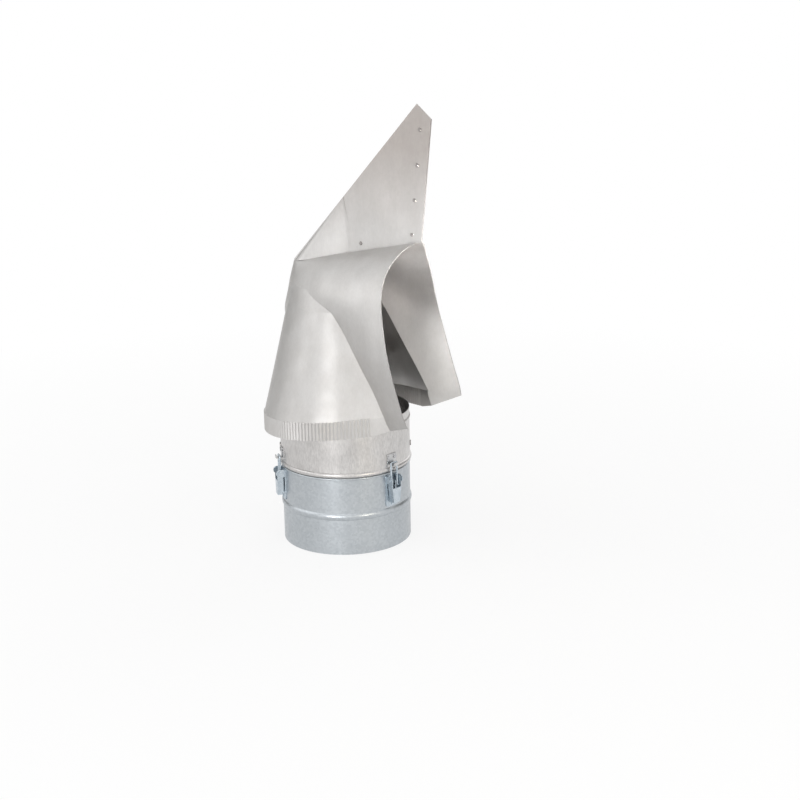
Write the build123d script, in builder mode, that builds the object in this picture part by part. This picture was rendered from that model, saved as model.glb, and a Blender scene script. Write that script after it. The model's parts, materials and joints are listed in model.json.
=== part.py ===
"""Rotating chimney cowl for a flue of nominal diameter 150 mm.

A plain galvanised spigot pipe stands in the flue.  Three toggle latches hold
a second, removable pipe on it.  Two cross bars inside the removable pipe carry
an upright axle, and a folded sheet hood with a tall vane turns on that axle,
so that its open side always faces away from the wind.

Frame: the origin is the centre of the spigot's bottom rim, +Z is up along the
axle, +X is the side on which the hood is open at rest.  Sizes are millimetres.
"""

from build123d import *
from math import asin, cos, degrees, radians, sin, sqrt, tan
import os

# sheet metal
sheet = 0.8
running_gap = 0.3

# spigot pipe, the fixed lower pipe
pipe_radius = 75.0
pipe_height = 92.0
pipe_bead_height = 45.5
pipe_bead_width = 8.0
pipe_bead_projection = 1.6
lip_width = 2.6
lip_projection = 1.0

# neck pipe, the removable pipe that carries the axle
neck_radius = 75.6
neck_top = 155.0
neck_bead_width = 6.0
neck_bead_projection = 1.6
neck_top_bead_height = 144.0
neck_top_bead_width = 4.0
neck_top_bead_projection = 1.0
socket_length = 24.0
socket_clearance = 0.2

# cross bars and their blind rivets
bar_width = 20.0
bar_thickness = 2.5
bar_tab_length = 18.0
bar_rivet_lift = 13.0
lower_bar_direction = 26.0
upper_bar_direction = 116.0
lower_rivet_height = 110.0
upper_rivet_height = 149.5
blind_rivet_diameter = 3.2
blind_head_diameter = 6.4
blind_head_height = 1.2
blind_tail_diameter = 5.0
blind_tail_length = 2.5

# axle
axle_diameter = 12.0
axle_tail = 3.0
axle_top = 281.0
nut_across_flats = 18.0
nut_height = 9.0
washer_diameter = 24.0
washer_thickness = 2.0
ball_diameter = 8.0
ball_seat_depth = 1.5

# hood bearing
hub_diameter = 22.0
hub_wall = 2.0
hub_bottom = 178.0
bush_length = 22.0
bush_clearance = 0.06
cap_plug = 6.0
cap_flange = 3.0
cap_gap = 0.1
bracket_width = 32.0
bracket_thickness = 2.0
bracket_tab_length = 13.0
lower_bracket_height = 196.0
upper_bracket_height = 260.0

# ridge of the hood, and the vane above it, seen from the side
ridge_slope = 11.0
ridge_over_axle = 336.1
ridge_front = -61.2
fin_apex = (99.8, 505.5)
fin_top_rear = (116.9, 489.7)
fin_foot_rear = (103.3, 356.2)
fin_open_half_width = 6.5
fin_open_length = 80.0
fin_closed_height = 62.0
fin_hem_top_width = 10.0
fin_hem_foot_width = 4.5
fin_hem_thickness = 0.5
fin_rivet_inset = 12.6
fin_rivet_first = 5.6
fin_rivet_pitch = 38.6
fin_rivet_count = 4
fin_rivet_diameter = 2.4
fin_rivet_head_diameter = 4.4
fin_rivet_head_height = 0.9
foot_rivet = (27.6, 349.3)

# vault of the hood, in the frame of the ridge
arch_radius = 67.0
arch_taper = 0.09
leg_middle_half_width = 74.0
leg_bottom_half_width = 69.0
leg_middle_level = -133.0
leg_bottom_level = -192.0
lee_station = 76.0
lee_reach = 124.0
crease_top_station = 2.9
crease_top_level = -37.3
crease_lean = 0.274
crease_half_width = 54.8
nose_lean = 0.425
nose_roundness = 0.5
vault_depth = 230.0

# skirt of the hood round the neck pipe
skirt_radius = 91.6
skirt_centre = -1.7
skirt_taper = 0.2665
skirt_centre_lean = 0.03
shoulder_bottom = 280.0
shoulder_top = 301.0
shoulder_radius = 44.0
shoulder_centre = -15.0
nose_pinch = 0.132
cheek_angle = 61.0
cheek_half_width = 42.0

# rim, crimped band and hem of the open side
rim_level = 139.8
rim_slope = 5.03
band_height = 20.5
band_end_x = 68.5
flute_pitch = 4.2
flute_depth = 1.1
crease_foot = (85.4, 150.8)
wing_corner = (117.2, 162.5)
hem_width = 5.0
hem_thickness = 0.6
lee_edge = (
    (96.5, 353.5), (90.6, 345.3), (85.0, 328.3), (84.1, 313.4), (86.7, 283.1), (93.2, 247.1), (106.9, 195.7),
)

# toggle latches
latch_angles = {"right": -18.0, "left": -138.0, "rear": 102.0}
latch_width = 19.0
latch_plate = 1.2
latch_foot = 51.5
latch_head = 89.0
latch_corner = 3.0
pivot_height = 84.0
pivot_offset = 6.0
ear_radius = 4.4
ear_gap = 0.4
ear_thickness = 1.2
stub_diameter = 3.0
stub_clearance = 0.05
stub_head_diameter = 4.8
stub_head_height = 0.8
lever_width = 14.0
lever_tip_width = 10.0
lever_tip = 57.0
lever_sheet = 0.8
lever_inner_face = 1.8
lever_depth = 7.0
lever_web_top = 74.5
lever_arm_radius = 3.6
bail_pivot_drop = 8.0
bail_pivot_inset = 1.5
bail_wire = 2.2
bail_leg_gap = 0.5
bail_bend = 1.3
bail_reach = 28.0
bail_clearance = 0.05
keeper_width = 15.0
keeper_top = 114.0
keeper_sheet = 1.0
keeper_drop = 0.9
keeper_slot_outside = 2.0
keeper_lip = 2.6
keeper_side_gap = 0.6
small_rivet_diameter = 2.4
small_rivet_head_diameter = 4.4
small_rivet_head_height = 0.8
base_rivet_heights = (54.6, 63.5)
keeper_rivet_spread = 4.8
keeper_rivet_drop = 4.0

neck_bead_height = pipe_height + running_gap + neck_bead_width / 2
neck_inside = neck_radius - sheet
socket_radius = pipe_radius - sheet - socket_clearance
lower_web_height = lower_rivet_height - bar_rivet_lift
upper_web_height = upper_rivet_height - bar_rivet_lift
axle_bottom = lower_web_height - washer_thickness - nut_height - axle_tail
cap_bottom = axle_top - ball_seat_depth + ball_diameter + cap_gap
hub_inside = hub_diameter - 2 * hub_wall
bail_pivot_height = pivot_height - bail_pivot_drop
bail_pivot_offset = pivot_offset - bail_pivot_inset
bail_leg = lever_width / 2 - lever_sheet - bail_leg_gap - bail_wire / 2
ear_inside = lever_width / 2 + ear_gap

ridge = Plane(
    origin=(0, 0, ridge_over_axle),
    x_dir=(cos(radians(ridge_slope)), 0, sin(radians(ridge_slope))),
    z_dir=(-sin(radians(ridge_slope)), 0, cos(radians(ridge_slope))),
)


def arch_half_width(station, level, inset):
    """Half width of the vault: a round arch that narrows a little to windward."""
    radius = arch_radius - arch_taper * max(0, lee_station - station)
    drop = min(-level, radius)
    return sqrt(max(0.04, (radius - inset) ** 2 - (radius - drop) ** 2))


def leg_half_width(level, inset):
    """Half width of the open side below the arch, on a curve through three widths."""
    top, middle, bottom = -arch_radius, leg_middle_level, leg_bottom_level
    share_top = (level - middle) * (level - bottom) / ((top - middle) * (top - bottom))
    share_middle = (level - top) * (level - bottom) / ((middle - top) * (middle - bottom))
    share_bottom = (level - top) * (level - middle) / ((bottom - top) * (bottom - middle))
    legs = leg_middle_half_width * share_middle + leg_bottom_half_width * share_bottom
    return arch_radius * share_top + legs - inset


def vault_points(level, inset):
    """Half section of the vault at a level below the ridge, from the open side to the nose."""
    crease = crease_top_station + crease_lean * (crease_top_level - level)
    if level > -arch_radius:
        lee = arch_half_width(lee_station, level, inset)
    else:
        lee = leg_half_width(level, inset)
    lower = min(1.0, max(0.0, (crease_top_level - level) / 25))
    upper_width = 0.96 * arch_half_width(crease, level, inset)
    at_crease = upper_width * (1 - lower) + (crease_half_width - inset) * lower
    fullness = 0.5 + 0.32 * max(0.0, 1 - abs(level + 62) / 55)
    middle = at_crease + (lee - at_crease) * fullness
    mid_station = (lee_station + crease) / 2
    end = lee + (lee - middle) / (lee_station - mid_station) * (lee_reach - lee_station)
    hidden = max(0.0, crease_top_level - 20 - level)
    nose = ridge_front + nose_lean * level + 0.55 * hidden + inset
    points = [(lee_reach, end), (lee_station, lee), (mid_station, middle), (crease, at_crease)]
    for share in (0.4, 0.7, 0.9):
        points.append((crease + (nose - crease) * share, at_crease * (1 - share) ** nose_roundness))
    return points + [(nose, 0)]


def vault(inset):
    """Solid vault under the ridge, its outside moved in by inset."""
    levels = (-0.3, -3, -9, -20, -36, -54, -76, -105, leg_middle_level, -162, leg_bottom_level, -vault_depth)
    with BuildPart() as body:
        for level in levels:
            half = vault_points(level - max(0, inset), inset)
            with BuildSketch(ridge.offset(level - max(0, inset))):
                with BuildLine():
                    curve = Spline(*half, *[(x, -y) for x, y in reversed(half[:-1])])
                    Line(curve @ 1, curve @ 0)
                make_face()
        loft()
    return body.part


def rim_plane(rise):
    """Plane parallel to the slanting rim, a stated rise above it on the axle."""
    turn = radians(rim_slope)
    return Plane(
        origin=(0, 0, rim_level + rise),
        x_dir=(cos(turn), 0, sin(turn)),
        z_dir=(-sin(turn), 0, cos(turn)),
    )


def cheek_end(centre, radius):
    """Touching point and inner end of the straight cheek on the +Y side."""
    turn = radians(cheek_angle)
    touch = (centre + radius * cos(turn), radius * sin(turn))
    reach = (touch[1] - cheek_half_width) / cos(turn)
    return touch, (touch[0] + reach * sin(turn), cheek_half_width)


def drop_outline(centre, radius):
    """Round to windward, with two straight cheeks drawn in to lee."""
    touch, end = cheek_end(centre, radius)
    with BuildSketch() as outline:
        with BuildLine():
            arc = ThreePointArc(touch, (centre - radius, 0), (touch[0], -touch[1]))
            Polyline(arc @ 1, (end[0], -end[1]), end, arc @ 0)
        make_face()
    return outline.sketch


def pinched_points(centre, radius):
    """Points round the windward side, drawn in beside the nose, from cheek to cheek."""
    points = []
    for index in range(-5, 6):
        share = abs(index) / 5
        turn = radians(180 - (180 - cheek_angle) * share)
        reach = radius * (1 - nose_pinch * sin(radians(180) * share) ** 2)
        side = 1 if index < 0 else -1
        points.append((centre + reach * cos(turn), side * reach * sin(turn)))
    return points


def skirt(inset):
    """Solid skirt: a leaning cone with cheeks, closed by a rounded shoulder."""
    rise = shoulder_bottom - rim_level - band_height
    upper_centre = skirt_centre - skirt_centre_lean * rise
    upper_radius = skirt_radius - skirt_taper * rise - inset
    _, end = cheek_end(upper_centre, upper_radius)
    with BuildPart() as body:
        with BuildSketch(rim_plane(band_height)):
            add(drop_outline(skirt_centre, skirt_radius - inset))
        with BuildSketch(Plane.XY.offset(shoulder_bottom)):
            with BuildLine():
                curve = Spline(*pinched_points(upper_centre, upper_radius))
                Polyline(curve @ 1, (end[0], -end[1]), end, curve @ 0)
            make_face()
        loft(ruled=True)
        for height, centre, radius in (
            (shoulder_bottom, upper_centre, upper_radius),
            (shoulder_top - inset, shoulder_centre, shoulder_radius - inset),
        ):
            with BuildSketch(Plane.XY.offset(height)):
                with BuildLine():
                    curve = Spline(*pinched_points(centre, radius))
                    ThreePointArc(curve @ 1, (centre + radius, 0), curve @ 0)
                make_face()
        loft()
    return body.part


def lens(front, length, half_width, rear_half_width):
    """Section of the opened foot of the vane: a round nose that tapers to a flat tail."""
    half = [
        (front + length, rear_half_width),
        (front + 0.65 * length, rear_half_width + 0.45 * (half_width - rear_half_width)),
        (front + 0.25 * length, half_width),
        (front + 0.05 * length, 0.55 * half_width),
    ]
    with BuildSketch() as outline:
        with BuildLine():
            curve = Spline(*half, (front, 0), *[(x, -y) for x, y in reversed(half)])
            Line(curve @ 1, curve @ 0)
        make_face()
    return outline.sketch


def fin_foot(inset):
    """Solid inside the opened foot of the vane, from the ridge to where it closes."""
    apex = ridge.to_local_coords(Vector(fin_apex[0], 0, fin_apex[1]))
    closed = ridge_front + (apex.X - ridge_front) * fin_closed_height / apex.Z
    rear = ridge_front + fin_open_length
    length = fin_open_length - 16 * inset
    with BuildPart() as body:
        with BuildSketch(ridge.offset(-1 - 2 * inset)):
            add(lens(ridge_front + inset, length, fin_open_half_width - inset, sheet - 0.9 * inset))
        with BuildSketch(ridge.offset(fin_closed_height - 14 * inset)):
            front = closed - 9 * inset
            add(lens(front, rear - front - 16 * inset, 1.6 * sheet - 1.2 * inset, sheet - 0.9 * inset))
        loft(ruled=True)
    return body.part


def band_path(centre, radius):
    """Outline of the crimped band as points and outward normals, one per half flute."""
    touch, end = cheek_end(centre, radius)
    turn = radians(cheek_angle)
    outward = (cos(turn), sin(turn))
    count = int((band_end_x - touch[0]) / sin(turn) / (flute_pitch / 2))
    points = [(end, outward)]
    for index in range(count, 0, -1):
        reach = index * flute_pitch / 2
        points.append(((touch[0] + reach * sin(turn), touch[1] - reach * cos(turn)), outward))
    steps = round(radius * radians(360 - 2 * cheek_angle) / (flute_pitch / 2) / 2) * 2
    for index in range(steps + 1):
        angle = turn + (radians(360) - 2 * turn) * index / steps
        out = (cos(angle), sin(angle))
        points.append(((centre + radius * out[0], radius * out[1]), out))
    for (x, y), out in reversed(points[: count + 1]):
        points.append(((x, -y), (out[0], -out[1])))
    return points


def fluted(path, shift):
    """Points of one face of the crimped band, alternately out and in."""
    last = len(path) - 1
    turned = []
    for index, ((x, y), out) in enumerate(path):
        wave = flute_depth / 2 * (1 if index in (0, last) else (-1) ** index)
        turned.append((x + out[0] * (wave - shift), y + out[1] * (wave - shift)))
    return turned


outer_vault, inner_vault = vault(0), vault(sheet)
outer_skirt, inner_skirt = skirt(0), skirt(sheet)

with BuildPart() as crimped_band:
    path = band_path(skirt_centre, skirt_radius)
    with BuildSketch(Plane.XY.offset(rim_level - band_height)):
        with BuildLine():
            Polyline(*fluted(path, 0), *reversed(fluted(path, sheet)), close=True)
        make_face()
    extrude(amount=3 * band_height)
    split(bisect_by=rim_plane(0), keep=Keep.TOP)
    split(bisect_by=rim_plane(band_height + sheet), keep=Keep.BOTTOM)

with BuildPart() as band_inside:
    with BuildSketch(rim_plane(band_height)):
        add(drop_outline(skirt_centre, skirt_radius - sheet - flute_depth))
    extrude(amount=-2 * band_height)

ridge_nose = ridge.from_local_coords(Vector(ridge_front, 0, 0))
trailing = (Vector(*fin_top_rear) - Vector(*fin_foot_rear)).normalized()
inward = Vector(-trailing.Y, trailing.X)
fin_rivet_places = [foot_rivet]
for index in range(fin_rivet_count):
    along = fin_rivet_first + index * fin_rivet_pitch
    place = Vector(*fin_foot_rear) + trailing * along + inward * fin_rivet_inset
    fin_rivet_places.append((place.X, place.Y))

with BuildPart() as fin_blade:
    with BuildSketch(Plane.XZ):
        with BuildLine():
            Polyline(
                (ridge_nose.X, ridge_nose.Z + sheet), fin_apex, fin_top_rear, fin_foot_rear,
                (fin_foot_rear[0], fin_foot_rear[1] - 2 * sheet),
                (ridge_nose.X + 4, ridge_nose.Z - sheet), close=True,
            )
        make_face()
    extrude(amount=sheet, both=True)
    hem_top = Vector(*fin_top_rear) - trailing * fin_hem_top_width
    hem_foot = Vector(*fin_foot_rear) + trailing * fin_hem_foot_width
    with BuildSketch(Plane.XZ):
        with BuildLine():
            Polyline(
                fin_top_rear, fin_foot_rear, tuple(hem_foot + inward * fin_hem_foot_width)[:2],
                tuple(hem_top + inward * fin_hem_top_width)[:2], close=True,
            )
        make_face()
    extrude(amount=sheet + fin_hem_thickness, both=True)

with BuildPart() as side_outline:
    with BuildSketch(Plane.XZ):
        with BuildLine():
            edge = Spline(fin_foot_rear, *lee_edge, wing_corner)
            level = rim_level + crease_foot[0] * tan(radians(rim_slope))
            Polyline(
                edge @ 1, crease_foot, (crease_foot[0] - 15, level - 1.3), (crease_foot[0] - 15, rim_level - 60),
                (-200, rim_level - 60), (-200, 600), (fin_foot_rear[0], 600), edge @ 0,
            )
        make_face()
    extrude(amount=150, both=True)

with BuildPart() as hem_strip:
    with BuildSketch(Plane.XZ):
        with BuildLine():
            edge = Spline(fin_foot_rear, *lee_edge, wing_corner)
            shifted = Spline(*[(x - hem_width, z) for x, z in (fin_foot_rear, *lee_edge, wing_corner)])
            Line(edge @ 0, shifted @ 0)
            Line(edge @ 1, shifted @ 1)
        make_face()
    extrude(amount=150, both=True)
    add(vault(-hem_thickness), mode=Mode.INTERSECT)
    add(vault(sheet / 2), mode=Mode.SUBTRACT)

with BuildPart() as hood_sheet:
    add(outer_vault)
    add(outer_skirt)
    add(crimped_band.part)
    add(fin_foot(0))
    add(inner_vault, mode=Mode.SUBTRACT)
    add(inner_skirt, mode=Mode.SUBTRACT)
    add(band_inside.part, mode=Mode.SUBTRACT)
    split(bisect_by=rim_plane(0), keep=Keep.TOP)
    add(side_outline.part, mode=Mode.INTERSECT)
    add(fin_blade.part)
    add(hem_strip.part)
    add(fin_foot(sheet), mode=Mode.SUBTRACT)
    with BuildSketch(Plane.XZ):
        with Locations(*fin_rivet_places):
            Circle(fin_rivet_diameter / 2)
    extrude(amount=fin_open_half_width, both=True, mode=Mode.SUBTRACT)
hood_sheet.part.label = "hood_sheet"

with BuildPart() as fin_rivets:
    with BuildSketch(Plane.XZ):
        with Locations(*fin_rivet_places):
            Circle(fin_rivet_diameter / 2)
    extrude(amount=sheet, both=True)
    for side in (1, -1):
        face = Plane(origin=(0, -side * sheet, 0), x_dir=(side, 0, 0), z_dir=(0, -side, 0))
        with BuildSketch(face):
            with Locations(*[(side * x, z) for x, z in fin_rivet_places]):
                Circle(fin_rivet_head_diameter / 2)
        extrude(amount=fin_rivet_head_height, taper=30)
fin_rivets.part.label = "fin_rivets"


def rolled_wall(bottom_radius, radius, bottom, top, beads):
    """Sheet wall with rolled beads given as height, width and projection, to be revolved."""
    with BuildSketch(Plane.XZ) as wall:
        with BuildLine():
            for inset in (0, sheet):
                at = (bottom_radius - inset, bottom)
                for height, width, projection in beads:
                    start, end = (at[0], height - width / 2), (radius - inset, height + width / 2)
                    Line(at, start)
                    ThreePointArc(start, (radius - inset + projection, height), end)
                    at = end
                if at[1] < top:
                    Line(at, (radius - inset, top))
            Line((bottom_radius, bottom), (bottom_radius - sheet, bottom))
            Line((radius, top), (radius - sheet, top))
        make_face()
    return wall.sketch


def polar_plane(angle):
    """Plane facing outward at an angle round the axle: x runs round the pipe, y up."""
    turn = radians(angle)
    return Plane(origin=(0, 0, 0), x_dir=(-sin(turn), cos(turn), 0), z_dir=(cos(turn), sin(turn), 0))


def side_plane(angle):
    """Upright plane through the axle at an angle: x runs outward, y up."""
    turn = radians(angle)
    return Plane(origin=(0, 0, 0), x_dir=(cos(turn), sin(turn), 0), z_dir=(sin(turn), -cos(turn), 0))


def rivet_planes(places, wall):
    """One outward plane for each small rivet on a pipe wall, square to the wall there."""
    planes = []
    for angle in latch_angles.values():
        for aside, height in places:
            turned = polar_plane(angle + degrees(asin(aside / wall)))
            planes.append((turned, height))
    return planes


bar_angles = {
    lower_rivet_height: (lower_bar_direction, lower_bar_direction + 180),
    upper_rivet_height: (upper_bar_direction, upper_bar_direction + 180),
}
base_rivet_places = [(0, height) for height in base_rivet_heights]
keeper_rivet_places = [(side * keeper_rivet_spread, keeper_top - keeper_rivet_drop) for side in (1, -1)]

with BuildPart() as spigot_pipe:
    add(rolled_wall(
        pipe_radius, pipe_radius, 0, pipe_height,
        [
            (pipe_bead_height, pipe_bead_width, pipe_bead_projection),
            (pipe_height - lip_width / 2, lip_width, lip_projection),
        ],
    ))
    revolve(axis=Axis.Z)
    for plane, height in rivet_planes(base_rivet_places, pipe_radius):
        with BuildSketch(plane):
            with Locations((0, height)):
                Circle(small_rivet_diameter / 2)
        extrude(amount=pipe_radius + 1, mode=Mode.SUBTRACT)
spigot_pipe.part.label = "spigot_pipe"

with BuildPart() as neck_pipe:
    add(rolled_wall(
        socket_radius, neck_radius, pipe_height - socket_length, neck_top,
        [
            (neck_bead_height, neck_bead_width, neck_bead_projection),
            (neck_top_bead_height, neck_top_bead_width, neck_top_bead_projection),
        ],
    ))
    revolve(axis=Axis.Z)
    for plane, height in rivet_planes(keeper_rivet_places, neck_radius):
        with BuildSketch(plane):
            with Locations((0, height)):
                Circle(small_rivet_diameter / 2)
        extrude(amount=neck_radius + 1, mode=Mode.SUBTRACT)
    for height, angles in bar_angles.items():
        for angle in angles:
            with BuildSketch(polar_plane(angle)):
                with Locations((0, height)):
                    Circle(blind_rivet_diameter / 2)
            extrude(amount=neck_radius + 1, mode=Mode.SUBTRACT)
neck_pipe.part.label = "neck_pipe"


def cross_bar(rivet_height, angles):
    """Strip across the neck pipe with both ends turned up and riveted to the wall."""
    web = rivet_height - bar_rivet_lift
    with BuildPart() as bar:
        with BuildSketch(side_plane(angles[0])):
            with Locations((0, web + bar_tab_length / 2)):
                Rectangle(2 * neck_radius, bar_tab_length)
            with Locations((0, web + bar_thickness + bar_tab_length / 2)):
                Rectangle(2 * (neck_inside - 1.3 * bar_thickness), bar_tab_length, mode=Mode.SUBTRACT)
        extrude(amount=bar_width / 2, both=True)
        with BuildSketch():
            Circle(neck_inside)
        extrude(amount=neck_top, mode=Mode.INTERSECT)
        with BuildSketch():
            Circle(axle_diameter / 2)
        extrude(amount=neck_top, mode=Mode.SUBTRACT)
        for angle in angles:
            with BuildSketch(polar_plane(angle)):
                with Locations((0, rivet_height)):
                    Circle(blind_rivet_diameter / 2)
            extrude(amount=neck_radius, mode=Mode.SUBTRACT)
    return bar.part


with BuildPart() as lower_cross_bar:
    add(cross_bar(lower_rivet_height, bar_angles[lower_rivet_height]))
lower_cross_bar.part.label = "lower_cross_bar"

with BuildPart() as upper_cross_bar:
    add(cross_bar(upper_rivet_height, bar_angles[upper_rivet_height]))
upper_cross_bar.part.label = "upper_cross_bar"

with BuildPart() as bar_rivets:
    tab_face = neck_inside - 1.3 * bar_thickness
    for height, angles in bar_angles.items():
        for angle in angles:
            for start, end, diameter in (
                (tab_face - blind_tail_length, tab_face, blind_tail_diameter),
                (tab_face, neck_radius, blind_rivet_diameter),
                (neck_radius, neck_radius + blind_head_height, blind_head_diameter),
            ):
                with BuildSketch(polar_plane(angle).offset(start)):
                    with Locations((0, height)):
                        Circle(diameter / 2)
                extrude(amount=end - start)
bar_rivets.part.label = "bar_rivets"

with BuildPart() as axle:
    with BuildSketch(Plane.XY.offset(axle_bottom)):
        Circle(axle_diameter / 2)
    extrude(amount=axle_top - axle_bottom)
    chamfer(axle.edges().filter_by(GeomType.CIRCLE), length=1)
    with Locations((0, 0, axle_top - ball_seat_depth + ball_diameter / 2)):
        Sphere(ball_diameter / 2, mode=Mode.SUBTRACT)
axle.part.label = "axle"

with BuildPart() as thrust_ball:
    with Locations((0, 0, axle_top - ball_seat_depth + ball_diameter / 2)):
        Sphere(ball_diameter / 2)
thrust_ball.part.label = "thrust_ball"

with BuildPart() as axle_washers:
    for web in (lower_web_height, upper_web_height):
        for start in (web - washer_thickness, web + bar_thickness):
            with BuildSketch(Plane.XY.offset(start)):
                Circle(washer_diameter / 2)
                Circle(axle_diameter / 2, mode=Mode.SUBTRACT)
            extrude(amount=washer_thickness)
axle_washers.part.label = "axle_washers"

with BuildPart() as axle_nuts:
    for web in (lower_web_height, upper_web_height):
        for start in (web - washer_thickness - nut_height, web + bar_thickness + washer_thickness):
            with BuildSketch(Plane.XY.offset(start)):
                RegularPolygon(nut_across_flats / 2, 6, major_radius=False)
                Circle(axle_diameter / 2, mode=Mode.SUBTRACT)
            extrude(amount=nut_height)
axle_nuts.part.label = "axle_nuts"

with BuildPart() as hub_tube:
    with BuildSketch(Plane.XY.offset(hub_bottom)):
        Circle(hub_diameter / 2)
        Circle(hub_inside / 2, mode=Mode.SUBTRACT)
    extrude(amount=cap_bottom + cap_plug - hub_bottom)
hub_tube.part.label = "hub_tube"


def bush(bottom):
    """Plain bush that runs on the axle."""
    with BuildPart() as ring:
        with BuildSketch(Plane.XY.offset(bottom)):
            Circle(hub_inside / 2)
            Circle(axle_diameter / 2 + bush_clearance, mode=Mode.SUBTRACT)
        extrude(amount=bush_length)
    return ring.part


with BuildPart() as lower_bush:
    add(bush(hub_bottom))
lower_bush.part.label = "lower_bush"

with BuildPart() as upper_bush:
    add(bush(axle_top - bush_length - 4))
upper_bush.part.label = "upper_bush"

with BuildPart() as pivot_cap:
    with BuildSketch(Plane.XY.offset(cap_bottom)):
        Circle(hub_inside / 2)
    extrude(amount=cap_plug)
    with BuildSketch(Plane.XY.offset(cap_bottom + cap_plug)):
        Circle(hub_diameter / 2)
    extrude(amount=cap_flange)
pivot_cap.part.label = "pivot_cap"

bracket_space = skirt(sheet + bracket_thickness)


def hood_bracket(height):
    """Strip across the hood whose turned-up ends lie on the inside of the skirt."""
    with BuildPart() as strip:
        add(inner_skirt)
        add(bracket_space, mode=Mode.SUBTRACT)
        with BuildSketch(Plane.XY.offset(height)):
            Rectangle(bracket_width, 2 * skirt_radius)
        extrude(amount=bracket_tab_length, mode=Mode.INTERSECT)
    with BuildPart() as web:
        add(inner_skirt)
        with BuildSketch(Plane.XY.offset(height)):
            Rectangle(bracket_width, 2 * skirt_radius)
            Circle(hub_diameter / 2, mode=Mode.SUBTRACT)
        extrude(amount=bracket_thickness, mode=Mode.INTERSECT)
        add(strip.part)
    return web.part


with BuildPart() as lower_hood_bracket:
    add(hood_bracket(lower_bracket_height))
lower_hood_bracket.part.label = "lower_hood_bracket"

with BuildPart() as upper_hood_bracket:
    add(hood_bracket(upper_bracket_height))
upper_hood_bracket.part.label = "upper_hood_bracket"


def latch_base(angle):
    """Curved plate on the spigot with two ears for the lever's pivots."""
    with BuildPart() as plate:
        with BuildSketch(polar_plane(angle)):
            with Locations((0, (latch_foot + latch_head) / 2)):
                RectangleRounded(latch_width, latch_head - latch_foot, latch_corner)
            with Locations(*base_rivet_places):
                Circle(small_rivet_diameter / 2, mode=Mode.SUBTRACT)
        extrude(amount=pipe_radius + latch_plate)
        with BuildSketch():
            Circle(pipe_radius + latch_plate)
        extrude(amount=pipe_height, mode=Mode.INTERSECT)
        for side in (1, -1):
            start = side * ear_inside
            with BuildSketch(side_plane(angle).offset(start)):
                with Locations((pipe_radius + pivot_offset, pivot_height)):
                    Circle(ear_radius)
                with Locations((pipe_radius, pivot_height)):
                    Rectangle(2 * latch_plate, 2 * ear_radius)
                make_hull()
                with Locations((pipe_radius + pivot_offset, pivot_height)):
                    Circle(stub_diameter / 2, mode=Mode.SUBTRACT)
            extrude(amount=side * ear_thickness)
        with BuildSketch():
            Circle(pipe_radius)
        extrude(amount=pipe_height, mode=Mode.SUBTRACT)
    return plate.part


def latch_lever(angle):
    """Tapered channel whose two arms turn on the stubs in the ears."""
    top = pivot_height + lever_arm_radius
    inner_face = pipe_radius + lever_inner_face
    half_tip, half_top = lever_tip_width / 2, lever_width / 2
    with BuildPart() as channel:
        with BuildSketch(polar_plane(angle).offset(inner_face)):
            with BuildLine():
                Polyline(
                    (-half_tip, lever_tip), (half_tip, lever_tip), (half_top, lever_web_top),
                    (half_top, top), (-half_top, top), (-half_top, lever_web_top), close=True,
                )
            make_face()
        extrude(amount=lever_depth)
        with BuildSketch(polar_plane(angle).offset(inner_face)):
            with BuildLine():
                Polyline(
                    (-half_tip + lever_sheet, lever_tip - 1), (half_tip - lever_sheet, lever_tip - 1),
                    (half_top - lever_sheet, lever_web_top), (half_top - lever_sheet, top + 1),
                    (-half_top + lever_sheet, top + 1), (-half_top + lever_sheet, lever_web_top), close=True,
                )
            make_face()
        extrude(amount=lever_depth - lever_sheet, mode=Mode.SUBTRACT)
        with BuildSketch(polar_plane(angle).offset(inner_face)):
            with Locations((0, (lever_web_top + top) / 2)):
                Rectangle(lever_width - 2 * lever_sheet, top - lever_web_top)
        extrude(amount=lever_depth, mode=Mode.SUBTRACT)
        with BuildSketch(side_plane(angle)):
            with Locations((pipe_radius + pivot_offset, pivot_height)):
                Circle(lever_arm_radius)
            with Locations((inner_face + lever_depth / 2, (lever_tip + lever_web_top) / 2)):
                Rectangle(lever_depth, lever_web_top - lever_tip)
            make_hull()
        extrude(amount=lever_width, both=True, mode=Mode.INTERSECT)
        with BuildSketch(side_plane(angle)):
            with Locations((pipe_radius + pivot_offset, pivot_height)):
                Circle(stub_diameter / 2 + stub_clearance)
            with Locations((pipe_radius + bail_pivot_offset, bail_pivot_height)):
                Circle(bail_wire / 2 + bail_clearance)
        extrude(amount=lever_width, both=True, mode=Mode.SUBTRACT)
    return channel.part


def latch_bail(angle):
    """Wire loop from the lever's arms to the keeper's hook."""
    half = lever_width / 2
    top = bail_pivot_height + bail_reach
    with BuildPart() as loop:
        with BuildLine(polar_plane(angle).offset(pipe_radius + bail_pivot_offset)) as route:
            FilletPolyline(
                (-half, bail_pivot_height), (-bail_leg, bail_pivot_height), (-bail_leg, top),
                (bail_leg, top), (bail_leg, bail_pivot_height), (half, bail_pivot_height),
                radius=bail_bend,
            )
        with BuildSketch(Plane(origin=route.line @ 0, z_dir=route.line % 0)):
            Circle(bail_wire / 2)
        sweep()
    return loop.part


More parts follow.
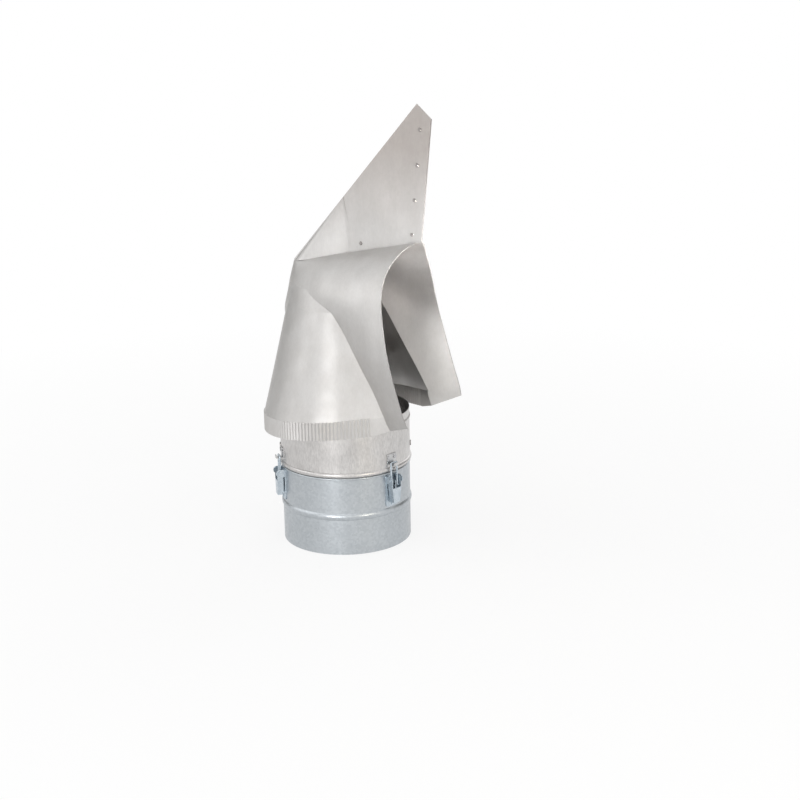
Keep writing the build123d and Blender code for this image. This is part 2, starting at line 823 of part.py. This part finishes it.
def keeper(angle):
    """Plate on the neck pipe with a narrow hook turned up under the bail."""
    wire_bottom = bail_pivot_height + bail_reach - bail_wire / 2
    floor = wire_bottom - keeper_drop
    wire_radius = pipe_radius + bail_pivot_offset
    slot_end = wire_radius + bail_wire / 2 + keeper_slot_outside
    tongue = 2 * (bail_leg - bail_wire / 2 - keeper_side_gap)
    with BuildPart() as plate:
        with BuildSketch(polar_plane(angle)):
            with Locations((0, (floor + keeper_top) / 2)):
                Rectangle(keeper_width, keeper_top - floor)
        extrude(amount=neck_radius + keeper_sheet)
        with BuildSketch(Plane.XY.offset(floor - 2)):
            Circle(neck_radius + keeper_sheet)
        extrude(amount=keeper_top, mode=Mode.INTERSECT)
        with BuildSketch(side_plane(angle)):
            with BuildLine():
                Polyline(
                    (neck_radius - 1, floor - keeper_sheet), (slot_end + keeper_sheet, floor - keeper_sheet),
                    (slot_end + keeper_sheet, floor + keeper_lip), (slot_end, floor + keeper_lip),
                    (slot_end, floor), (neck_radius + keeper_sheet, floor),
                    (neck_radius + keeper_sheet, floor + 1), (neck_radius - 1, floor + 1), close=True,
                )
            make_face()
        extrude(amount=tongue / 2, both=True)
        with BuildSketch():
            Circle(neck_radius)
        extrude(amount=keeper_top, mode=Mode.SUBTRACT)
        for plane, height in rivet_planes(keeper_rivet_places, neck_radius):
            with BuildSketch(plane):
                with Locations((0, height)):
                    Circle(small_rivet_diameter / 2)
            extrude(amount=2 * neck_radius, mode=Mode.SUBTRACT)
    return plate.part


latch_pieces = []
for name, angle in latch_angles.items():
    for kind, made in (("base", latch_base), ("lever", latch_lever), ("bail", latch_bail), ("keeper", keeper)):
        piece = made(angle)
        piece.label = f"{name}_keeper" if kind == "keeper" else f"{name}_latch_{kind}"
        latch_pieces.append(piece)


def small_rivets(places, wall, plate):
    """Rivets through a plate on a pipe wall, headed outside and set flat inside."""
    with BuildPart() as group:
        for plane, height in rivet_planes(places, wall):
            with BuildSketch(plane.offset(wall - sheet - small_rivet_head_height)):
                with Locations((0, height)):
                    Circle(small_rivet_head_diameter / 2)
            extrude(amount=2 * small_rivet_head_height)
        with BuildSketch():
            Circle(wall - sheet)
        extrude(amount=neck_top, mode=Mode.INTERSECT)
        for plane, height in rivet_planes(places, wall):
            for start, end, diameter in (
                (wall - 2 * sheet, wall + plate, small_rivet_diameter),
                (wall + plate, wall + plate + small_rivet_head_height, small_rivet_head_diameter),
            ):
                with BuildSketch(plane.offset(start)):
                    with Locations((0, height)):
                        Circle(diameter / 2)
                extrude(amount=end - start)
    return group.part


with BuildPart() as base_rivets:
    add(small_rivets(base_rivet_places, pipe_radius, latch_plate))
base_rivets.part.label = "base_rivets"

with BuildPart() as keeper_rivets:
    add(small_rivets(keeper_rivet_places, neck_radius, keeper_sheet))
keeper_rivets.part.label = "keeper_rivets"

with BuildPart() as latch_pivots:
    for angle in latch_angles.values():
        for side in (1, -1):
            outer = ear_inside + ear_thickness
            for start, end, diameter in (
                (lever_width / 2 - lever_sheet, outer, stub_diameter),
                (outer, outer + stub_head_height, stub_head_diameter),
            ):
                with BuildSketch(side_plane(angle).offset(side * start)):
                    with Locations((pipe_radius + pivot_offset, pivot_height)):
                        Circle(diameter / 2)
                extrude(amount=side * (end - start))
latch_pivots.part.label = "latch_pivots"

os.makedirs("parts", exist_ok=True)
single_pieces = (
    spigot_pipe, neck_pipe, lower_cross_bar, upper_cross_bar, bar_rivets, axle, axle_nuts, axle_washers,
    thrust_ball, hub_tube, lower_bush, upper_bush, pivot_cap, lower_hood_bracket, upper_hood_bracket,
    hood_sheet, fin_rivets, base_rivets, keeper_rivets, latch_pivots,
)
for piece in [single.part for single in single_pieces] + latch_pieces:
    export_step(piece, f"parts/{piece.label}.step")
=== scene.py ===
import json
from math import cos, radians, sin

import bpy
from mathutils import Matrix, Vector

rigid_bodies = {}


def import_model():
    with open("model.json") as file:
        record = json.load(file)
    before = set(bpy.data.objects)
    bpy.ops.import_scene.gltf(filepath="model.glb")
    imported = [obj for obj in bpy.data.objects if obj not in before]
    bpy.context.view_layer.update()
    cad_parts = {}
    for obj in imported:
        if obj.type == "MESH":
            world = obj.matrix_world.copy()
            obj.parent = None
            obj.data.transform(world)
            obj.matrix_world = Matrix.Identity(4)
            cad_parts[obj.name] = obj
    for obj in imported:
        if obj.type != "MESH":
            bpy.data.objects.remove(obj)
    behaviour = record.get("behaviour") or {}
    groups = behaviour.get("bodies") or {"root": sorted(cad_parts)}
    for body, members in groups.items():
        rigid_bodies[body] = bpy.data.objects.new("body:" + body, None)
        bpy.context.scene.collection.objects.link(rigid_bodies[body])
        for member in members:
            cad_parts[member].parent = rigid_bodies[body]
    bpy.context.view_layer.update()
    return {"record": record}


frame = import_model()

white = (1.0, 1.0, 1.0)
cowl_middle = (0.0, 0.0, 0.27)
vane_foot, vane_middle = 0.36, 0.46
floor_size, floor_gap = 12, 0.0005


def grey(tone):
    return (tone, tone, tone)


class Nodes:
    """Helpers round one material's node tree."""

    def __init__(self, name):
        self.material = bpy.data.materials.new(name)
        self.material.use_nodes = True
        self.tree = self.material.node_tree
        self.shader = self.tree.nodes["Principled BSDF"]
        self.place = self.add("ShaderNodeTexCoord").outputs["Object"]

    def add(self, kind, **settings):
        """New node with its sockets and its properties set by name."""
        node = self.tree.nodes.new(kind)
        for key, value in settings.items():
            if key in node.inputs:
                node.inputs[key].default_value = value
            else:
                setattr(node, key, value)
        return node

    def link(self, output, socket):
        self.tree.links.new(output, socket)

    def noise(self, scale, stretch=(1, 1, 1), detail=4.0, rough=0.55):
        """Noise over the object's metres, drawn out where stretch is small."""
        mapping = self.add("ShaderNodeMapping", Scale=[scale * part for part in stretch])
        self.link(self.place, mapping.inputs["Vector"])
        noise = self.add("ShaderNodeTexNoise", Scale=1.0, Detail=detail, Roughness=rough)
        self.link(mapping.outputs["Vector"], noise.inputs["Vector"])
        return noise.outputs["Fac"]

    def ramp(self, value, low, high, start=0.35, end=0.65):
        """Value mapped from start..end to low..high, numbers or colours."""
        if isinstance(low, (int, float)):
            node = self.add("ShaderNodeMapRange")
            for key, number in (("From Min", start), ("From Max", end), ("To Min", low), ("To Max", high)):
                node.inputs[key].default_value = number
            self.link(value, node.inputs["Value"])
            return node.outputs["Result"]
        node = self.add("ShaderNodeValToRGB")
        first, last = node.color_ramp.elements
        first.position = start
        last.position = end
        first.color = (*low, 1)
        last.color = (*high, 1)
        self.link(value, node.inputs["Fac"])
        return node.outputs["Color"]

    def multiply(self, first, second):
        """Product of two colours. A Mix node's colour sockets are only known by their numbers."""
        factor, color_a, color_b, color_out = 0, 6, 7, 2
        node = self.add("ShaderNodeMix", data_type="RGBA", blend_type="MULTIPLY")
        node.inputs[factor].default_value = 1.0
        self.link(first, node.inputs[color_a])
        self.link(second, node.inputs[color_b])
        return node.outputs[color_out]

    def by_height(self, low, high, above):
        """White below one height of the object, and above another a darker tone that paints shade."""
        parts = self.add("ShaderNodeSeparateXYZ")
        self.link(self.place, parts.inputs[0])
        share = self.ramp(parts.outputs["Z"], 0.0, 1.0, start=low, end=high)
        return self.ramp(share, white, above, start=0.0, end=1.0)

    def bump(self, height, distance, strength, after=None):
        node = self.add("ShaderNodeBump", Strength=strength, Distance=distance)
        self.link(height, node.inputs["Height"])
        if after:
            self.link(after, node.inputs["Normal"])
        return node.outputs["Normal"]

    def finish(self, color, roughness, normal):
        """Finished metal from its colour, roughness and normal."""
        self.link(color, self.shader.inputs["Base Color"])
        self.link(roughness, self.shader.inputs["Roughness"])
        self.link(normal, self.shader.inputs["Normal"])
        self.shader.inputs["Metallic"].default_value = 1.0
        return self.material


def mill_sheet(name, tones, grain, fleck, rough_range, vane_painted_shade=None):
    """Rolled sheet: cloudy tone, drawn grain, smudges, flecks, handling dents and a fine wrinkled skin;
    given a vane colour, also painted shade that darkens the sheet upwards from the vane's foot.
    """
    n = Nodes(name)
    cloud = n.ramp(n.noise(scale=7, detail=5), *tones, start=0.3, end=0.7)
    streak = n.ramp(n.noise(scale=26, stretch=grain, detail=3), grey(0.95), white)
    smudge = n.ramp(n.noise(scale=45, detail=7, rough=0.7), (0.95, 0.945, 0.94), white, start=0.38, end=0.62)
    wrinkle = n.noise(scale=620, stretch=(1, 1, 0.3), detail=3, rough=0.7)
    color = n.multiply(n.multiply(cloud, streak), smudge)
    color = n.multiply(color, n.ramp(wrinkle, grey(fleck), white))
    # painted shade: the sheet darkens with height from the vane's foot to its middle
    if vane_painted_shade:
        color = n.multiply(color, n.by_height(vane_foot, vane_middle, vane_painted_shade))
    rough = n.ramp(n.noise(scale=31, detail=5), *rough_range)
    dents = n.bump(n.noise(scale=13, detail=2), distance=0.0012, strength=0.5)
    normal = n.bump(wrinkle, distance=0.00012, strength=0.6, after=dents)
    return n.finish(color, rough, normal)


def galvanised(name):
    """Zinc coat: bluish, with a fine spangle of flat crystals."""
    n = Nodes(name)
    crystals = n.add("ShaderNodeTexVoronoi", Scale=420.0)
    n.link(n.place, crystals.inputs["Vector"])
    shares = n.add("ShaderNodeSeparateColor")
    n.link(crystals.outputs["Color"], shares.inputs[0])
    tone = n.ramp(shares.outputs[0], (0.45, 0.48, 0.505), (0.52, 0.55, 0.575), start=0.0, end=1.0)
    cloud = n.ramp(n.noise(scale=11, detail=4), grey(0.92), white)
    rough = n.ramp(shares.outputs[1], 0.30, 0.42, start=0.0, end=1.0)
    normal = n.bump(n.noise(scale=16, stretch=(1, 1, 0.4), detail=2), distance=0.0005, strength=0.4)
    return n.finish(n.multiply(tone, cloud), rough, normal)


def plain_metal(name, dark, light, smooth=0.25, matt=0.4):
    """Small turned or pressed part with an uneven finish."""
    n = Nodes(name)
    color = n.ramp(n.noise(scale=120, detail=4), dark, light)
    rough = n.ramp(n.noise(scale=204, detail=3), smooth, matt)
    normal = n.bump(n.noise(scale=720, detail=2), distance=0.00005, strength=0.4)
    return n.finish(color, rough, normal)


finishes = {
    "aluminium_sheet": mill_sheet(
        "mill_sheet", tones=((0.54, 0.53, 0.52), (0.62, 0.61, 0.60)), grain=(2.3, 2.3, 0.12),
        # the last colour is painted shade that darkens the upper vane
        fleck=0.95, rough_range=(0.44, 0.54), vane_painted_shade=(0.72, 0.68, 0.66),
    ),
    "galvanised_sheet": galvanised("galvanised_sheet"),
    "zinc_plated": plain_metal("zinc_plated", (0.46, 0.52, 0.57), (0.58, 0.64, 0.69)),
    "aluminium_rivet": plain_metal("aluminium_rivet", (0.30, 0.28, 0.27), (0.42, 0.40, 0.39)),
    "steel_parts": plain_metal("steel_parts", (0.30, 0.30, 0.29), (0.40, 0.39, 0.38), smooth=0.38, matt=0.5),
    "bearing_steel": plain_metal("bearing_steel", grey(0.6), grey(0.7), smooth=0.05, matt=0.1),
    "bronze": plain_metal("bronze", (0.42, 0.27, 0.12), (0.52, 0.36, 0.18)),
}
special_finishes = {
    "neck_pipe": mill_sheet(
        "neck_sheet", tones=((0.58, 0.565, 0.555), (0.78, 0.765, 0.755)), grain=(4.6, 4.6, 0.3),
        fleck=0.8, rough_range=(0.30, 0.40),
    ),
    "keeper": plain_metal("keeper_plate", grey(0.50), grey(0.62)),
    "keeper_rivets": plain_metal("keeper_rivet", (0.44, 0.44, 0.45), (0.56, 0.56, 0.57)),
}

for row in frame["record"]["subparts"]:
    piece = bpy.data.objects[row["node"]]
    piece.data.materials.clear()
    kind = "keeper" if row["node"].endswith("_keeper") else row["node"]
    piece.data.materials.append(special_finishes.get(kind, finishes[row["material_slot"]]))


def seen_or_mirrored(tree):
    """Light Path value: 1 for camera, glossy and transmission rays."""
    path = tree.nodes.new("ShaderNodeLightPath")
    total = path.outputs["Is Camera Ray"]
    for name in ("Is Glossy Ray", "Is Transmission Ray"):
        larger = tree.nodes.new("ShaderNodeMath")
        larger.operation = "MAXIMUM"
        tree.links.new(total, larger.inputs[0])
        tree.links.new(path.outputs[name], larger.inputs[1])
        total = larger.outputs[0]
    return total


def studio_world(strength, zenith, horizon, ground):
    """White where it is seen or mirrored, and a soft grey dome as the light of the room."""
    world = bpy.data.worlds.new("studio")
    bpy.context.scene.world = world
    world.use_nodes = True
    tree = world.node_tree
    tree.nodes.clear()
    backdrop = tree.nodes.new("ShaderNodeBackground")
    backdrop.inputs["Color"].default_value = (*white, 1)
    dome = tree.nodes.new("ShaderNodeBackground")
    dome.inputs["Strength"].default_value = strength
    place = tree.nodes.new("ShaderNodeTexCoord")
    parts = tree.nodes.new("ShaderNodeSeparateXYZ")
    height = tree.nodes.new("ShaderNodeMapRange")
    height.inputs["From Min"].default_value = -1.0
    ramp = tree.nodes.new("ShaderNodeValToRGB")
    lowest, highest = ramp.color_ramp.elements
    lowest.position = 0.3
    lowest.color = (*ground, 1)
    highest.position = 0.9
    highest.color = (*zenith, 1)
    ramp.color_ramp.elements.new(0.5).color = (*horizon, 1)
    tree.links.new(place.outputs["Generated"], parts.inputs[0])
    tree.links.new(parts.outputs["Z"], height.inputs["Value"])
    tree.links.new(height.outputs["Result"], ramp.inputs["Fac"])
    tree.links.new(ramp.outputs["Color"], dome.inputs["Color"])
    mix = tree.nodes.new("ShaderNodeMixShader")
    tree.links.new(seen_or_mirrored(tree), mix.inputs["Fac"])
    tree.links.new(dome.outputs[0], mix.inputs[1])
    tree.links.new(backdrop.outputs[0], mix.inputs[2])
    output = tree.nodes.new("ShaderNodeOutputWorld")
    tree.links.new(mix.outputs[0], output.inputs["Surface"])


def aim(place, target=cowl_middle):
    """Rotation that turns a thing at this place to face a target."""
    return (Vector(target) - Vector(place)).to_track_quat("-Z", "Y").to_euler()


def grey_card(name, place, size, tone):
    """Matt card that no camera sees and that gives the sheet something darker to mirror."""
    bpy.ops.mesh.primitive_plane_add(size=size, location=place, rotation=aim(place))
    card = bpy.context.object
    card.name = name
    n = Nodes(name)
    color = n.ramp(n.noise(scale=2, detail=2), tone, tuple(1.1 * part for part in tone))
    n.link(color, n.shader.inputs["Base Color"])
    n.shader.inputs["Roughness"].default_value = 0.9
    card.data.materials.append(n.material)
    card.visible_camera = False


def soft_light(name, place, size, power, color=white, target=cowl_middle, spread=180):
    """Soft box that the camera doesn't see."""
    lamp = bpy.data.lights.new(name, "AREA")
    lamp.shape = "RECTANGLE"
    lamp.size, lamp.size_y = size
    lamp.energy = power
    lamp.color = color
    lamp.spread = radians(spread)
    box = bpy.data.objects.new(name, lamp)
    bpy.context.collection.objects.link(box)
    box.location = place
    box.rotation_euler = aim(place, target)
    box.visible_camera = False


def floor_paper():
    """Pale floor that keeps the shadow near the object and is as white as the backdrop beyond it."""
    bpy.ops.mesh.primitive_plane_add(size=floor_size, location=(0, 0, -floor_gap))
    floor = bpy.context.object
    floor.name = "floor"
    n = Nodes("floor_paper")
    n.link(n.ramp(n.noise(scale=3, detail=2), grey(0.86), grey(0.88)), n.shader.inputs["Base Color"])
    n.shader.inputs["Roughness"].default_value = 0.9
    away = n.add("ShaderNodeVectorMath", operation="LENGTH")
    n.link(n.place, away.inputs[0])
    white_share = n.ramp(away.outputs["Value"], 0.8, 1.0, start=0.25, end=1.1)
    share = n.add("ShaderNodeMath", operation="MULTIPLY")
    n.link(white_share, share.inputs[0])
    n.link(seen_or_mirrored(n.tree), share.inputs[1])
    backdrop = n.add("ShaderNodeEmission", Strength=1.0)
    mix = n.add("ShaderNodeMixShader")
    n.link(share.outputs[0], mix.inputs["Fac"])
    n.link(n.shader.outputs[0], mix.inputs[1])
    n.link(backdrop.outputs[0], mix.inputs[2])
    n.link(mix.outputs[0], n.tree.nodes["Material Output"].inputs["Surface"])
    floor.data.materials.append(n.material)


studio_world(strength=0.8, zenith=white, horizon=grey(0.9), ground=grey(0.6))
soft_light("key_front", place=(0.1, -2.0, 0.45), size=(0.5, 0.9), power=5)
soft_light("key_low", place=(0.25, -1.5, 0.16), size=(0.3, 0.28), power=2.5)
soft_light("key_left", place=(-1.7, -1.3, 1.2), size=(1.8, 1.6), power=6.5)
soft_light("top_soft", place=(0.1, -0.8, 2.1), size=(1.6, 1.6), power=5)
soft_light("lee_strip", place=(1.05, -0.60, 0.27), size=(0.07, 0.5), power=1.3, color=(1.0, 0.92, 0.72))
soft_light("lee_warm", place=(1.7, -0.75, 0.25), size=(1.3, 1.0), power=1, color=(1.0, 0.87, 0.82))
soft_light(
    "inside_fill", place=(0.6, 0.0, 0.03), size=(0.3, 0.2), power=1.1, color=(1.0, 0.94, 0.91),
    target=(0.055, 0.04, 0.34), spread=28,
)
soft_light("back_soft", place=(0.4, 1.7, 1.0), size=(1.4, 1.2), power=4)
grey_card("card_overhead", place=(-1.3, 1.9, 2.1), size=1.2, tone=(0.35, 0.35, 0.34))
grey_card("card_left", place=(-1.7, 0.35, 0.5), size=1.0, tone=(0.45, 0.45, 0.44))
grey_card("card_right", place=(1.05, 1.15, 0.4), size=1.2, tone=(0.25, 0.25, 0.24))
floor_paper()

# camera fitted to the pipe's rim, bead and lip in the photograph
azimuth, elevation, roll = radians(26.67), radians(16.231), radians(1.109)
distance = 1.8549
lens, sensor, frame_pixels = 70.0, 36.0, 800
focal_pixels = lens / sensor * frame_pixels
origin_pixel = (348.04, 531.21)

back = Vector((sin(azimuth) * cos(elevation), -cos(azimuth) * cos(elevation), sin(elevation)))
level_right = Vector((cos(azimuth), sin(azimuth), 0))
level_up = back.cross(level_right)
right = cos(roll) * level_right - sin(roll) * level_up
up = sin(roll) * level_right + cos(roll) * level_up
across = (origin_pixel[0] - frame_pixels / 2) / focal_pixels * distance
down = (origin_pixel[1] - frame_pixels / 2) / focal_pixels * distance
camera_data = bpy.data.cameras.new("camera")
camera_data.lens, camera_data.sensor_width = lens, sensor
camera = bpy.data.objects.new("camera", camera_data)
bpy.context.collection.objects.link(camera)
turn = Matrix((right, up, back)).transposed().to_4x4()
camera.matrix_world = Matrix.Translation(back * distance - right * across + up * down) @ turn
bpy.context.scene.camera = camera
bpy.context.scene.view_settings.view_transform = "Standard"
